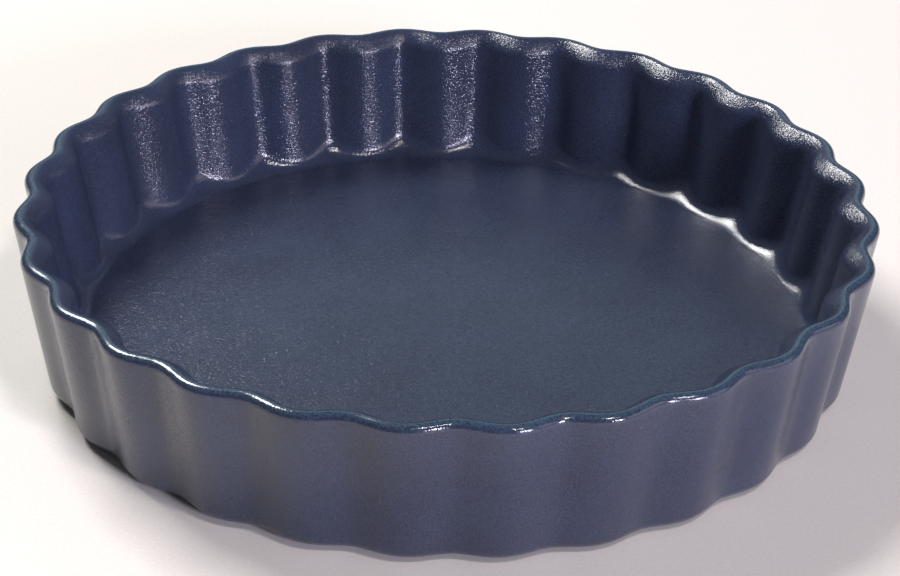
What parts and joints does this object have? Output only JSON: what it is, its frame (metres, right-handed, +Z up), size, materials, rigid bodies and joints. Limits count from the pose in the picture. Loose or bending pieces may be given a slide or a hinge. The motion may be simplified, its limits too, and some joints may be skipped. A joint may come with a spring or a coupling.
{
  "type": "quiche dish",
  "caption": "Round quiche dish pressed in one piece, with a low fluted wall, a rounded lip, a coved flat floor and a low foot ring, satin glazed in navy blue.",
  "frame": {"origin": "centre of the dish on the surface it stands on, in the plane of the foot ring's land", "axes": "+Z up along the axis of the dish, +X through the middle of one lobe of the fluted wall"},
  "size_m": [0.2726, 0.2726, 0.05],
  "materials": {
    "glazed_stoneware": "satin navy glaze, with a bare stoneware foot ring"
  },
  "bodies": {
    "root": {"dish": "glazed_stoneware"}
  },
  "joints": []
}
